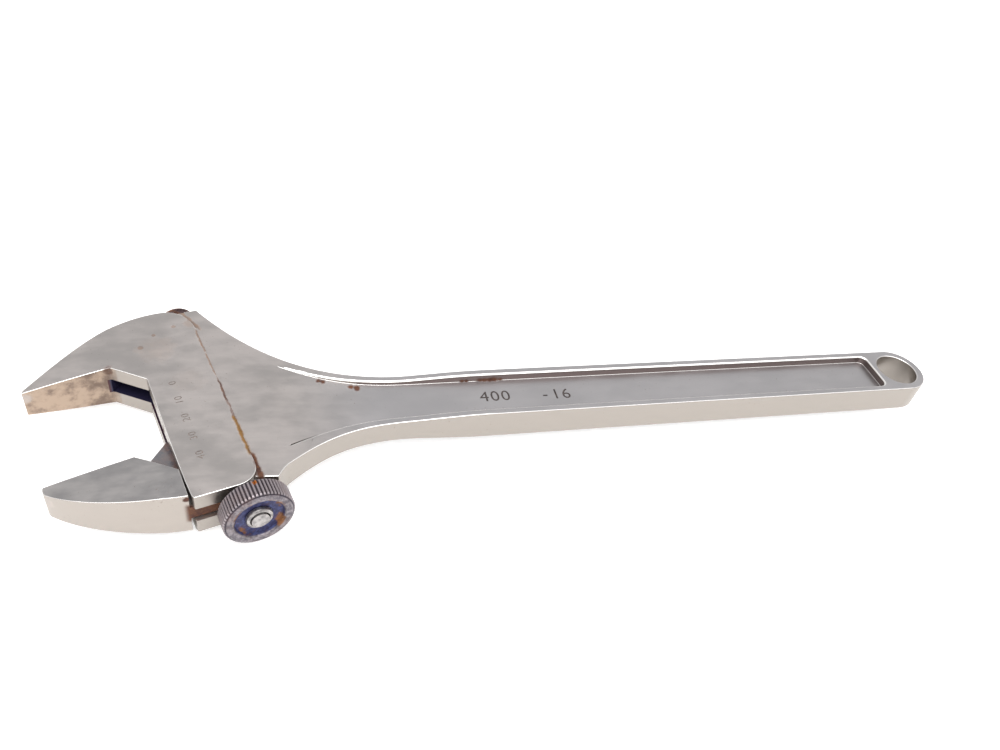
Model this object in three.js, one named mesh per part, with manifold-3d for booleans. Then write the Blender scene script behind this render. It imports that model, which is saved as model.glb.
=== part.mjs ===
// Adjustable wrench, 400 mm, with a side thumb wheel. Millimetres, +Z up, lying flat.
// One forging carries the handle, the guide housing and the fixed jaw. The movable jaw slides in the
// housing on a two-start spindle, which the thumb wheel turns.
//
// Two frames are used. The handle frame has its origin in the hanging hole, +X out of the handle's end.
// The head frame sits on the housing's mouth side, turned by headAngle: +X to the handle, +Y to the
// fixed jaw. Both have Z = 0 in the wrench's middle plane.
import * as THREE from 'three';
import { mergeVertices } from 'three/addons/utils/BufferGeometryUtils.js';
import Module from 'manifold-3d';

const wasm = await Module();
wasm.setup();

// ---- driving sizes -------------------------------------------------------------------------------
const handleWidth = 26.8;
const handleThickness = 13.4;
const headDistance = 338; // hanging hole to the head frame's origin
const headAngle = THREE.MathUtils.degToRad(16);
const hangingHoleRadius = 9.8;

const rimWidth = 3.4; // of the handle's edge ribs
const panelDepth = 3.5; // of the sunk panel on each face
const panelEndGap = 2.8; // metal between the panel and the hanging hole
const panelWallRun = 1.6; // how far the panel's wall leans
const panelCorner = 3;
const panelReach = 42; // head end of the panel, from the head frame's origin
const panelClimb = 44; // length over which the panel's floor climbs to the neck
const panelFlare = 56; // length over which the panel widens with the neck
const panelFlareTop = 13.2; // how much it widens on the fixed jaw's side
const panelFlareBottom = 15; // and on the wheel's side

const neckThickness = 10;
const neckReach = 95; // length over which the neck flares into the head
const shoulderDrop = 37.2; // lower shoulder, from the handle's axis
const shoulderReach = 43; // lower shoulder's corner, from the head frame's origin
const shoulderLift = 5.5; // height of the shoulder's short slope

const headThickness = 19;
const housingWidth = 24.5;
const housingBottom = 49.2; // end beside the wheel, from the head frame's origin
const housingTop = 52.8; // back of the fixed jaw
const housingCorner = 8;
const housingTopCorner = 16; // length of the rounding beside the end plug
const neckPeak = 51.2; // upper corner of the neck, beside the end plug

const jawLength = 42.6;
const jawTipThickness = 12.2;
const fixedFace = 25.2; // working face of the fixed jaw
const opening = 48.6; // jaw opening as shown, wide open
const closedGap = 0.3;
const throatDepth = 11.4; // the throat's slope, across the jaw
const throatRise = 11; // the throat's slope, along the slide
const throatClearance = 1.2;
const fixedTipHeight = 1.8;
const movableTipHeight = 3.6;
const movableHeel = 47.6; // outer side of the movable jaw at the housing

const slotThickness = 6.5;
const slideClearance = 0.3;
const tongueTop = 14; // top of the tongue, below the head frame's origin
const tongueRoot = 26.5; // where the tongue's slope meets the working face
const slotEndClearance = 1;

const spindleOffset = 20.4; // spindle axis, from the housing's mouth side
const boreRadius = 6.5;
const sliderLength = 36;
const nutLength = 16;
const journalRadius = 3.2;
const threadRadius = 4.3;
const threadDepth = 0.9;
const threadLead = 6; // two starts of 3 mm pitch
const threadStarts = 2;
const threadClearance = 0.35;
const fitClearance = 0.3;
const pressFit = 0.05; // between the bush and its bore

const bushLength = 3.8;
const washerRadius = 8.6;
const washerThickness = 1.2;
const wheelRadius = 12.9;
const wheelThickness = 8.2;
const wheelDishRadius = 9;
const wheelDishDepth = 2;
const wheelTeeth = 60;
const wheelToothDepth = 0.55;
const wheelChamfer = 0.9;
const collarRadius = 4.9;
const collarThickness = 1.7;
const spindleProud = 0.5; // riveted end, in front of the wheel

const plugShoulder = 0.9; // how much wider the end plug is than the bore
const plugProud = 3; // its rim, beyond the housing
const plugDome = 2.8;
const plugSocket = 6;
const topCollarRadius = 5.6;
const topCollarThickness = 1.4;
const springWire = 0.9;
const springCoils = 2.5;
const springSlack = 0.2; // between the coils and the journal's clearance
const over = 1; // how far a cutter runs past the metal

// ---- places that follow from them ----------------------------------------------------------------
const travel = opening - closedGap;
const movableFace = fixedFace - opening;
const tongueThickness = slotThickness - 2 * slideClearance;
const sliderRadius = boreRadius - slideClearance;
const plugRadius = boreRadius + plugShoulder;
const journalBore = journalRadius + fitClearance;
const flareEnd = -headDistance + neckReach;
const panelStart = -headDistance + panelReach;
const bushTop = -housingBottom + bushLength;
const sliderBottom = bushTop + fitClearance;
const sliderTop = sliderBottom + sliderLength;
const wheelBack = -housingBottom - washerThickness - 2 * fitClearance;
const wheelFront = wheelBack - wheelThickness;
const collarFloor = sliderTop + travel + fitClearance;
const springFloor = collarFloor + topCollarThickness + fitClearance;
const plugFloor = springFloor + springWire * (springCoils + 1) + fitClearance;
const plugSeat = plugFloor + fitClearance;
const spindleTop = plugFloor + plugSocket - fitClearance;

// ---- materials -----------------------------------------------------------------------------------
const steel = { color: 0xc4c6c6, roughness: 0.36, metalness: 0.9 };
const finishes = {
  body: steel,
  movable_jaw: { color: 0xbfc0bf, roughness: 0.38, metalness: 0.9 },
  thumb_wheel: { color: 0x4b4f57, roughness: 0.5, metalness: 0.8 },
  hub_collar: { color: 0x83868a, roughness: 0.45, metalness: 0.85 },
  spindle: { color: 0x8d8f90, roughness: 0.42, metalness: 0.85 },
  end_plug: { color: 0x4a3a30, roughness: 0.8, metalness: 0.4 },
  lower_bush: { color: 0x6f6658, roughness: 0.6, metalness: 0.7 },
  thrust_washer: { color: 0x6c6a66, roughness: 0.55, metalness: 0.75 },
  friction_spring: { color: 0x77797c, roughness: 0.45, metalness: 0.85 },
};

// ---- geometry helpers ----------------------------------------------------------------------------
// Shared vertices only, and none of the flat triangles that a lathe leaves on its axis.
function welded(geometry) {
  const bare = new THREE.BufferGeometry();
  bare.setAttribute('position', geometry.getAttribute('position').clone());
  if (geometry.index) bare.setIndex(geometry.index.clone());
  const merged = mergeVertices(bare, 1e-4);
  const corners = merged.index.array;
  const kept = [];
  for (let i = 0; i < corners.length; i += 3) {
    const [a, b, c] = corners.slice(i, i + 3);
    if (a !== b && b !== c && c !== a) kept.push(a, b, c);
  }
  merged.setIndex(kept);
  return merged;
}

function toSolid(geometry) {
  const shared = welded(geometry);
  const mesh = new wasm.Mesh({
    numProp: 3,
    vertProperties: new Float32Array(shared.getAttribute('position').array),
    triVerts: new Uint32Array(shared.index.array),
  });
  return new wasm.Manifold(mesh);
}

function toGeometry(solid) {
  const mesh = solid.getMesh();
  const geometry = new THREE.BufferGeometry();
  geometry.setAttribute('position', new THREE.BufferAttribute(mesh.vertProperties, 3));
  geometry.setIndex(new THREE.BufferAttribute(mesh.triVerts, 1));
  return geometry;
}

function slab(shape, thickness, curveSegments = 24) {
  const geometry = new THREE.ExtrudeGeometry(shape, {
    depth: thickness, bevelEnabled: false, curveSegments,
  });
  return welded(geometry).translate(0, 0, -thickness / 2);
}

// A side view, drawn as X and height, made into a solid that is wide along Y.
function sideSlab(shape, width) {
  return slab(shape, width).rotateX(Math.PI / 2);
}

function fromHead(geometry) {
  return geometry.rotateZ(headAngle).translate(-headDistance, 0, 0);
}

function headPoint(x, y) {
  const point = new THREE.Vector2(x, y);
  return point.rotateAround(new THREE.Vector2(), headAngle).add(new THREE.Vector2(-headDistance, 0));
}

// A solid of revolution about the spindle's axis. Its profile runs from the axis back to the axis.
function turned(profile, segments = 48) {
  const points = profile.map(([radius, along]) => new THREE.Vector2(radius, along));
  return welded(new THREE.LatheGeometry(points, segments)).translate(spindleOffset, 0, 0);
}

function ring(outer, inner, from, to, segments = 48) {
  const profile = [[inner, from], [outer, from], [outer, to], [inner, to], [inner, from]];
  return turned(profile, segments);
}

function rod(radius, from, to, segments = 48) {
  return turned([[0, from], [radius, from], [radius, to], [0, to]], segments);
}

// A side view that is the same above and below the middle plane: it is square at the end given, and
// its upper edge runs along the curve.
function evenSideView(curve, divisions, end, endHeight) {
  const points = curve.getPoints(divisions);
  const shape = new THREE.Shape();
  shape.moveTo(end, -endHeight);
  shape.lineTo(end, endHeight);
  [...points].reverse().forEach((point) => shape.lineTo(point.x, point.y));
  points.forEach((point) => shape.lineTo(point.x, -point.y));
  return shape;
}

// ---- handle and neck -----------------------------------------------------------------------------
function handlePlan() {
  const half = handleWidth / 2;
  const corner = -headDistance + shoulderReach;
  const peak = headPoint(housingWidth + 3.5, neckPeak);
  const inside = [headPoint(15, neckPeak - over), headPoint(12, 0), headPoint(14, -40)];
  const shape = new THREE.Shape();
  shape.absarc(0, 0, half, -Math.PI / 2, Math.PI / 2, false);
  shape.lineTo(flareEnd, half);
  shape.bezierCurveTo(flareEnd - 33, half, flareEnd - 61, peak.y - 28, peak.x, peak.y);
  inside.forEach((point) => shape.lineTo(point.x, point.y));
  shape.lineTo(corner - 10, -shoulderDrop);
  shape.lineTo(corner, -shoulderDrop);
  shape.lineTo(corner + 3.5, -shoulderDrop + shoulderLift);
  shape.bezierCurveTo(corner + 19, -half - shoulderLift, corner + 31, -half, corner + 55, -half);
  return shape;
}

function handleSideView() {
  const rib = handleThickness / 2;
  const neck = neckThickness / 2;
  const head = headThickness / 2;
  const start = -headDistance - 30;
  const heights = new THREE.SplineCurve([
    new THREE.Vector2(start, head - 0.2),
    new THREE.Vector2(-headDistance + 8, head - 0.6),
    new THREE.Vector2(-headDistance + 23, head - 1.8),
    new THREE.Vector2(-headDistance + 38, neck + 1.2),
    new THREE.Vector2(-headDistance + 66, neck),
    new THREE.Vector2(-headDistance + 88, neck),
    new THREE.Vector2(-headDistance + 130, rib),
  ]);
  return evenSideView(heights, 40, handleWidth, rib);
}

function panelPlan(inset) {
  const half = handleWidth / 2 - rimWidth - inset;
  const end = -hangingHoleRadius - panelEndGap - inset;
  const corner = panelCorner;
  const first = panelStart + panelFlare - 36;
  const second = panelStart + panelFlare - 22;
  const shape = new THREE.Shape();
  shape.moveTo(panelStart, -half - panelFlareBottom);
  shape.bezierCurveTo(first, -half - 3.5, second, -half, panelStart + panelFlare, -half);
  shape.lineTo(end - corner, -half);
  shape.quadraticCurveTo(end, -half, end, -half + corner);
  shape.lineTo(end, half - corner);
  shape.quadraticCurveTo(end, half, end - corner, half);
  shape.lineTo(panelStart + panelFlare, half);
  shape.bezierCurveTo(second, half, first, half + 3.5, panelStart, half + panelFlareTop);
  return shape;
}

// The sunk panel of one face: its floor climbs out to the neck's surface at the head's end.
function panelCut(side) {
  const floor = handleThickness / 2 - panelDepth;
  const neck = neckThickness / 2;
  const middle = panelStart + panelClimb / 2;
  const view = new THREE.Shape();
  view.moveTo(panelStart, headThickness);
  view.lineTo(panelStart, neck + 1.4 * over);
  view.bezierCurveTo(middle - 12, neck, middle, floor, panelStart + panelClimb, floor);
  view.lineTo(0, floor);
  view.lineTo(0, headThickness);
  const length = toSolid(sideSlab(view, 4 * handleWidth));
  const wall = new THREE.ExtrudeGeometry(panelPlan(panelWallRun), {
    depth: over, bevelEnabled: true, bevelThickness: panelDepth, bevelSize: panelWallRun,
    bevelSegments: 1, steps: 1, curveSegments: 8,
  });
  wall.translate(0, 0, floor + panelDepth);
  const cut = toSolid(wall).intersect(length);
  return side > 0 ? cut : toSolid(toGeometry(cut).rotateX(Math.PI));
}

function handleSolid() {
  const blank = toSolid(slab(handlePlan(), 2 * headThickness));
  return blank.intersect(toSolid(sideSlab(handleSideView(), 8 * shoulderDrop)));
}

// ---- guide housing and fixed jaw -----------------------------------------------------------------
function headPlan() {
  const tip = -jawLength;
  const shape = new THREE.Shape();
  shape.moveTo(1.5, -housingBottom);
  shape.lineTo(housingWidth - housingCorner, -housingBottom);
  shape.absarc(housingWidth - housingCorner, -housingBottom + housingCorner, housingCorner,
    -Math.PI / 2, 0, false);
  shape.lineTo(housingWidth, housingTop - housingTopCorner);
  shape.quadraticCurveTo(housingWidth, housingTop, housingWidth - 12, housingTop);
  shape.bezierCurveTo(-7, housingTop + 0.6, -24.5, fixedFace + 14.4, tip + 1, fixedFace + fixedTipHeight);
  shape.quadraticCurveTo(tip - 0.2, fixedFace + fixedTipHeight / 2, tip + 0.4, fixedFace);
  shape.lineTo(-throatDepth, fixedFace);
  shape.lineTo(0, fixedFace - throatRise);
  shape.lineTo(0, -housingBottom + 1.5);
  shape.quadraticCurveTo(0, -housingBottom, 1.5, -housingBottom);
  return shape;
}

// Side view of the head: both jaws thin down from the housing to their tips.
function headSideView() {
  const full = headThickness / 2;
  const tip = jawTipThickness / 2;
  const taper = new THREE.QuadraticBezierCurve(
    new THREE.Vector2(-jawLength - 1, tip - 0.6),
    new THREE.Vector2(-throatDepth - 9, full - 1.6),
    new THREE.Vector2(-throatDepth + 3, full),
  );
  return evenSideView(taper, 10, 4 * housingWidth, full);
}

// The slot clears the tongue over its whole travel, and runs out of the housing's bottom end.
function slotPlan() {
  const top = -tongueTop + travel + slotEndClearance;
  const root = fixedFace - closedGap - tongueRoot - movableFace + slotEndClearance;
  const shape = new THREE.Shape();
  shape.moveTo(-throatDepth - 1.6, fixedFace + root);
  shape.lineTo(0, top);
  shape.lineTo(spindleOffset, top);
  shape.lineTo(spindleOffset, -2 * housingBottom);
  shape.lineTo(-throatDepth - 1.6, -2 * housingBottom);
  return shape;
}

function bodySolid() {
  const head = toSolid(slab(headPlan(), 2 * headThickness))
    .intersect(toSolid(sideSlab(headSideView(), 8 * housingTop)));
  const bore = rod(boreRadius, -2 * housingBottom, plugSeat);
  const plugBore = rod(plugRadius + fitClearance, plugSeat, 2 * housingTop);
  const depth = 2 * handleThickness;
  const hole = new THREE.CylinderGeometry(hangingHoleRadius, hangingHoleRadius, depth, 48);
  return toSolid(fromHead(toGeometry(head)))
    .add(handleSolid())
    .subtract(panelCut(1))
    .subtract(panelCut(-1))
    .subtract(toSolid(hole.rotateX(Math.PI / 2)))
    .subtract(toSolid(fromHead(slab(slotPlan(), slotThickness))))
    .subtract(toSolid(fromHead(bore)))
    .subtract(toSolid(fromHead(plugBore)));
}

// ---- movable jaw ---------------------------------------------------------------------------------
function movablePlan() {
  const tip = -jawLength;
  const corner = -throatDepth - throatClearance;
  const heel = -slideClearance;
  const slopeEnd = movableFace - throatRise - slideClearance;
  const shape = new THREE.Shape();
  shape.moveTo(tip + 0.4, movableFace);
  shape.quadraticCurveTo(tip - 0.3, movableFace - 2, tip + 0.6, movableFace - movableTipHeight);
  shape.bezierCurveTo(tip + 8.6, movableFace - 12.6, -18, -movableHeel + 3.4, heel, -movableHeel);
  shape.lineTo(heel, slopeEnd);
  shape.lineTo(corner, movableFace);
  return shape;
}

function tonguePlan() {
  const right = spindleOffset - threadRadius;
  const stop = spindleOffset - boreRadius - 1.2;
  const shape = new THREE.Shape();
  shape.moveTo(-throatDepth - 1, -tongueRoot);
  shape.lineTo(-throatDepth - 1, -tongueRoot - 6);
  shape.lineTo(-4, -movableHeel + 1.5);
  shape.lineTo(-1, -movableHeel);
  shape.lineTo(stop, -movableHeel);
  shape.lineTo(stop, sliderBottom);
  shape.lineTo(right, sliderBottom);
  shape.lineTo(right, -tongueTop);
  shape.lineTo(0, -tongueTop);
  return shape;
}

// Cross-section of the screw: as many rounded lobes as there are starts.
function threadSection(grow) {
  const corners = 20;
  const points = [];
  for (let i = 0; i < corners; i += 1) {
    const angle = (2 * Math.PI * i) / corners;
    const swell = 0.5 + 0.5 * Math.cos(threadStarts * angle);
    const radius = threadRadius - threadDepth + threadDepth * swell + grow;
    points.push(new THREE.Vector2(radius * Math.cos(angle), radius * Math.sin(angle)));
  }
  return new THREE.Shape(points);
}

// The screw's section pushed along the axis and turned with the lead: a right-hand thread.
function threaded(grow, from, to) {
  const length = to - from;
  const steps = Math.ceil((length / threadLead) * 16);
  const geometry = new THREE.ExtrudeGeometry(threadSection(grow), {
    depth: length, steps, bevelEnabled: false,
  });
  geometry.translate(0, 0, from);
  const position = geometry.getAttribute('position');
  const point = new THREE.Vector3();
  const axis = new THREE.Vector3(0, 0, 1);
  for (let i = 0; i < position.count; i += 1) {
    point.fromBufferAttribute(position, i);
    point.applyAxisAngle(axis, (2 * Math.PI * point.z) / threadLead);
    position.setXYZ(i, point.x, point.y, point.z);
  }
  return geometry.rotateX(-Math.PI / 2).translate(spindleOffset, 0, 0);
}

function movableJawSolid() {
  const tapered = toSolid(sideSlab(headSideView(), 8 * housingTop));
  const nutTop = sliderBottom + nutLength;
  const bored = threadRadius + 2 * threadClearance;
  return toSolid(slab(movablePlan(), 2 * headThickness))
    .intersect(tapered)
    .add(toSolid(slab(tonguePlan(), tongueThickness)))
    .add(toSolid(rod(sliderRadius, sliderBottom, sliderTop)))
    .subtract(toSolid(threaded(threadClearance, sliderBottom - over, nutTop)))
    .subtract(toSolid(rod(bored, nutTop - over / 2, sliderTop + over)));
}

// ---- spindle, wheel and the small pieces ----------------------------------------------------------
function spindleSolid() {
  const threadBottom = bushTop + fitClearance;
  const threadTop = sliderBottom + travel + nutLength;
  return toSolid(rod(journalRadius, wheelFront - spindleProud, spindleTop))
    .add(toSolid(threaded(0, threadBottom, threadTop)))
    .add(toSolid(rod(topCollarRadius, collarFloor, collarFloor + topCollarThickness)));
}

function wheelSection() {
  const points = [];
  for (let i = 0; i < wheelTeeth; i += 1) {
    const pitch = (2 * Math.PI) / wheelTeeth;
    const corners = [[0, -wheelToothDepth], [0.3, -wheelToothDepth], [0.5, 0], [0.8, 0]];
    corners.forEach(([turn, height]) => {
      const angle = (i + turn) * pitch;
      const radius = wheelRadius + height;
      points.push(new THREE.Vector2(radius * Math.cos(angle), radius * Math.sin(angle)));
    });
  }
  return new THREE.Shape(points);
}

function wheelSolid() {
  const teeth = slab(wheelSection(), wheelThickness).rotateX(Math.PI / 2);
  teeth.translate(spindleOffset, (wheelBack + wheelFront) / 2, 0);
  const envelope = turned([
    [0, wheelFront], [wheelRadius - wheelChamfer, wheelFront], [wheelRadius, wheelFront + wheelChamfer],
    [wheelRadius, wheelBack - wheelChamfer], [wheelRadius - wheelChamfer, wheelBack], [0, wheelBack],
  ], 120);
  const dish = turned([
    [0, wheelFront - over], [wheelDishRadius + 0.4, wheelFront - over],
    [wheelDishRadius, wheelFront + wheelDishDepth], [0, wheelFront + wheelDishDepth],
  ]);
  const bore = rod(journalBore, wheelFront - over, wheelBack + over);
  return toSolid(teeth).intersect(toSolid(envelope)).subtract(toSolid(dish)).subtract(toSolid(bore));
}

function collarGeometry() {
  const back = wheelFront + wheelDishDepth - fitClearance;
  const front = back - collarThickness;
  return turned([
    [journalBore, front], [collarRadius - 0.5, front], [collarRadius, front + 0.5],
    [collarRadius, back], [journalBore, back], [journalBore, front],
  ]);
}

function plugSolid() {
  const rim = housingTop + plugProud;
  const dome = new THREE.QuadraticBezierCurve(
    new THREE.Vector2(plugRadius, rim),
    new THREE.Vector2(plugRadius - 1, rim + plugDome),
    new THREE.Vector2(0, rim + plugDome),
  );
  const profile = [[0, plugFloor + fitClearance], [plugRadius, plugFloor + fitClearance]];
  dome.getPoints(8).forEach((point) => profile.push([point.x, point.y]));
  const socket = rod(journalBore, plugFloor, plugFloor + plugSocket);
  return toSolid(turned(profile)).subtract(toSolid(socket));
}

// Coil spring round the spindle's upper journal, as a round wire along a helix.
class Helix extends THREE.Curve {
  constructor(radius, height, turns) {
    super();
    this.radius = radius;
    this.height = height;
    this.turns = turns;
  }

  getPoint(share, target = new THREE.Vector3()) {
    const angle = 2 * Math.PI * this.turns * share;
    const x = this.radius * Math.cos(angle);
    const z = this.radius * Math.sin(angle);
    return target.set(x, this.height * share, z);
  }
}

function springGeometry() {
  const meanRadius = journalBore + springWire / 2 + springSlack;
  const height = plugFloor - springFloor - springWire;
  const section = new THREE.Shape();
  section.absarc(0, 0, springWire / 2, 0, 2 * Math.PI);
  const coil = new THREE.ExtrudeGeometry(section, {
    steps: springCoils * 20, curveSegments: 8, extrudePath: new Helix(meanRadius, height, springCoils),
  });
  return coil.translate(spindleOffset, springFloor + springWire / 2, 0);
}

// ---- scene ---------------------------------------------------------------------------------------
function part(name, shape) {
  const geometry = shape.isBufferGeometry ? shape : toGeometry(shape);
  const mesh = new THREE.Mesh(geometry, new THREE.MeshStandardMaterial(finishes[name]));
  mesh.name = name;
  return mesh;
}

function headGroup() {
  const head = new THREE.Group();
  head.rotation.z = headAngle;
  head.position.x = -headDistance;
  const bushOuter = boreRadius - pressFit;
  const washerBack = -housingBottom - fitClearance;
  head.add(part('movable_jaw', movableJawSolid()));
  head.add(part('spindle', spindleSolid()));
  head.add(part('thumb_wheel', wheelSolid()));
  head.add(part('hub_collar', collarGeometry()));
  head.add(part('lower_bush', ring(bushOuter, journalBore, -housingBottom, bushTop)));
  head.add(part('thrust_washer', ring(washerRadius, journalBore, washerBack - washerThickness, washerBack)));
  head.add(part('end_plug', plugSolid()));
  head.add(part('friction_spring', springGeometry()));
  return head;
}

// The wrench lies flat: the origin is under the middle of its bounding box.
function wrench() {
  const group = new THREE.Group();
  group.add(part('body', bodySolid()));
  group.add(headGroup());
  const box = new THREE.Box3().setFromObject(group, true);
  const centre = box.getCenter(new THREE.Vector3());
  group.position.set(-centre.x, -centre.y, -box.min.z);
  return group;
}

export default wrench();
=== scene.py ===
"""Looks of the adjustable wrench: plated forging and jaw, dark thumb wheel, rust and stamped figures.

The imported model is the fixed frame. The wrench lies flat in it, in metres, with +X along the handle.
Outlines are drawn in millimetres in one of two frames: the handle frame, whose origin is in the
hanging hole, and the head frame, on the housing's mouth side, with +X to the handle and +Y to the
fixed jaw. Both have height 0 in the wrench's middle plane.
"""
import logging
import math
from dataclasses import dataclass
from enum import Enum
from typing import Iterable, Sequence

import bpy
from mathutils import Matrix, Vector


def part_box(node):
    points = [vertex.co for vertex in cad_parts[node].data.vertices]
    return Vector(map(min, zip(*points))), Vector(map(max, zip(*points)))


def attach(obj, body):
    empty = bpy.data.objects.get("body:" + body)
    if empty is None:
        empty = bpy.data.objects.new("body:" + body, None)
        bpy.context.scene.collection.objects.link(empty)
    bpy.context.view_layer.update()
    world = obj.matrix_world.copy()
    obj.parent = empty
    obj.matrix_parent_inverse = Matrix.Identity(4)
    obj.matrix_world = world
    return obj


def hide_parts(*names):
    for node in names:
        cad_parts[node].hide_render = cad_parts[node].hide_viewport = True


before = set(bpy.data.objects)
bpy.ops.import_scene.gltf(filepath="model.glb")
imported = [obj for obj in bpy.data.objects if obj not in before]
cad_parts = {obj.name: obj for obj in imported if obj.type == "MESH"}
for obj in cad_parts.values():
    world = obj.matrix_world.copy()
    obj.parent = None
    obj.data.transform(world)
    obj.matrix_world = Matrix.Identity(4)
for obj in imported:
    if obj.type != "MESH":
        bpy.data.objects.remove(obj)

logging.basicConfig(level=logging.INFO, format="%(message)s")
LOG = logging.getLogger("wrench")

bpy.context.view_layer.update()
MM = 0.001
WELD = 1e-4  # millimetres: points nearer than this are one point
FINE_WELD = 1e-5
BLANK = 25.0  # half height of the blanks that the side views cut down
WIDE = 150.0  # half width of the side views
SMOOTH_ANGLE = math.radians(32)
Point = tuple[float, float]


# ---- frames and outlines -------------------------------------------------------------------------
@dataclass(frozen=True)
class Datum:
    """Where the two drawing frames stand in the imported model."""

    handle_radius: float = 13.4
    head_distance: float = 338.0
    head_angle: float = math.radians(16)
    hole_across: float = -4.0484

    def handle(self) -> Matrix:
        """Return the handle frame, whose origin is in the hanging hole."""
        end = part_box("body")[1][0]
        height = (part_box("body")[0][2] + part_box("body")[1][2]) / 2
        place = Matrix.Translation((end - self.handle_radius * MM, self.hole_across * MM, height))
        return place @ Matrix.Scale(MM, 4)

    def head(self) -> Matrix:
        """Return the head frame, on the housing's mouth side."""
        turn = Matrix.Rotation(self.head_angle, 4, "Z")
        return self.handle() @ Matrix.Translation((-self.head_distance, 0, 0)) @ turn

    def on_handle(self, x: float, y: float) -> Point:
        """Return a head-frame point in the handle frame.

        Args:
            x: Place towards the handle, in millimetres.
            y: Place towards the fixed jaw, in millimetres.
        """
        spot = Matrix.Rotation(self.head_angle, 4, "Z") @ Vector((x, y, 0))
        return (spot.x - self.head_distance, spot.y)


DATUM = Datum()


class Outline:
    """A plan drawn with lines, Bezier curves and arcs."""

    def __init__(self, x: float, y: float) -> None:
        """Start the outline at a point."""
        self.points: list[Point] = [(x, y)]

    def line(self, *points: Point) -> "Outline":
        """Run straight through the points given."""
        self.points.extend(points)
        return self

    def bend(self, first: Point, second: Point, end: Point, steps: int = 16) -> "Outline":
        """Run along a cubic Bezier curve.

        Args:
            first: First handle.
            second: Second handle.
            end: Where the curve ends.
            steps: Number of straight pieces.

        Returns:
            The outline, so that calls can be chained.
        """
        start = self.points[-1]
        for step in range(1, steps + 1):
            t = step / steps
            weights = ((1 - t) ** 3, 3 * t * (1 - t) ** 2, 3 * t * t * (1 - t), t ** 3)
            corners = (start, first, second, end)
            self.points.append(tuple(sum(w * c[i] for w, c in zip(weights, corners)) for i in (0, 1)))
        return self

    def arc(self, centre: Point, radius: float, start: float, stop: float, steps: int = 24) -> "Outline":
        """Run along an arc, with its angles in degrees."""
        for step in range(steps + 1):
            angle = math.radians(start + (stop - start) * step / steps)
            self.points.append((centre[0] + radius * math.cos(angle), centre[1] + radius * math.sin(angle)))
        return self


# ---- workshop: how pieces are cut and joined -----------------------------------------------------
class Cut(Enum):
    """How one solid acts on another."""

    JOIN = "UNION"
    REMOVE = "DIFFERENCE"
    KEEP = "INTERSECT"


def select_only(obj: bpy.types.Object) -> None:
    """Make one object the only selected and the active one."""
    bpy.ops.object.select_all(action="DESELECT")
    obj.select_set(True)
    bpy.context.view_layer.objects.active = obj


def tidy_mesh(obj: bpy.types.Object, weld: float = 1e-6) -> None:
    """Merge doubles and turn every face outwards."""
    select_only(obj)
    bpy.ops.object.mode_set(mode="EDIT")
    bpy.ops.mesh.select_all(action="SELECT")
    bpy.ops.mesh.remove_doubles(threshold=weld)
    bpy.ops.mesh.normals_make_consistent(inside=False)
    bpy.ops.object.mode_set(mode="OBJECT")


def prism(name: str, points: Sequence[Point], low: float, high: float) -> bpy.types.Object:
    """Draw an outline and extrude it upwards.

    Args:
        name: Name of the new object.
        points: Outline, in millimetres.
        low: Height of the lower face.
        high: Height of the upper face.

    Returns:
        The closed solid, still in its drawing frame.
    """
    kept = [p for i, p in enumerate(points) if math.dist(p, points[i - 1]) > 1e-3]
    bpy.ops.object.select_all(action="DESELECT")
    bpy.ops.mesh.primitive_circle_add(vertices=len(kept), fill_type="NGON")
    obj = bpy.context.object
    obj.name = name
    for vertex, (x, y) in zip(obj.data.vertices, kept):
        vertex.co = (x, y, low)
    bpy.ops.object.mode_set(mode="EDIT")
    bpy.ops.mesh.select_all(action="SELECT")
    bpy.ops.mesh.extrude_region_move(TRANSFORM_OT_translate={"value": (0, 0, high - low)})
    bpy.ops.object.mode_set(mode="OBJECT")
    tidy_mesh(obj, FINE_WELD)
    return obj


def side_prism(name: str, points: Sequence[Point], half_width: float) -> bpy.types.Object:
    """Extrude a side view, drawn as length and height, across the wrench."""
    obj = prism(name, points, -half_width, half_width)
    obj.data.transform(Matrix.Rotation(math.radians(90), 4, "X"))
    tidy_mesh(obj, FINE_WELD)
    return obj


def turned(name: str, profile: Sequence[Point], steps: int = 96) -> bpy.types.Object:
    """Spin a profile of radius and height round the vertical axis.

    Args:
        name: Name of the new object.
        profile: Open profile from axis to axis, or a closed ring that repeats its first point.
        steps: Number of straight pieces round the axis.

    Returns:
        The closed solid of revolution.
    """
    mesh = bpy.data.meshes.new(name)
    edges = [(i, i + 1) for i in range(len(profile) - 1)]
    mesh.from_pydata([(radius, 0, height) for radius, height in profile], edges, [])
    obj = bpy.data.objects.new(name, mesh)
    bpy.context.collection.objects.link(obj)
    select_only(obj)
    bpy.ops.object.mode_set(mode="EDIT")
    bpy.ops.mesh.select_all(action="SELECT")
    bpy.ops.mesh.spin(steps=steps, angle=2 * math.pi, center=(0, 0, 0), axis=(0, 0, 1))
    bpy.ops.mesh.select_all(action="SELECT")
    bpy.ops.mesh.remove_doubles(threshold=WELD)
    bpy.ops.mesh.dissolve_degenerate(threshold=WELD)
    bpy.ops.mesh.normals_make_consistent(inside=False)
    bpy.ops.object.mode_set(mode="OBJECT")
    return obj


def along_slide(obj: bpy.types.Object, offset: float) -> bpy.types.Object:
    """Lay a turned solid along the slide, with its axis at an offset in the head frame."""
    obj.data.transform(Matrix.Translation((offset, 0, 0)) @ Matrix.Rotation(math.radians(-90), 4, "X"))
    return obj


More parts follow.
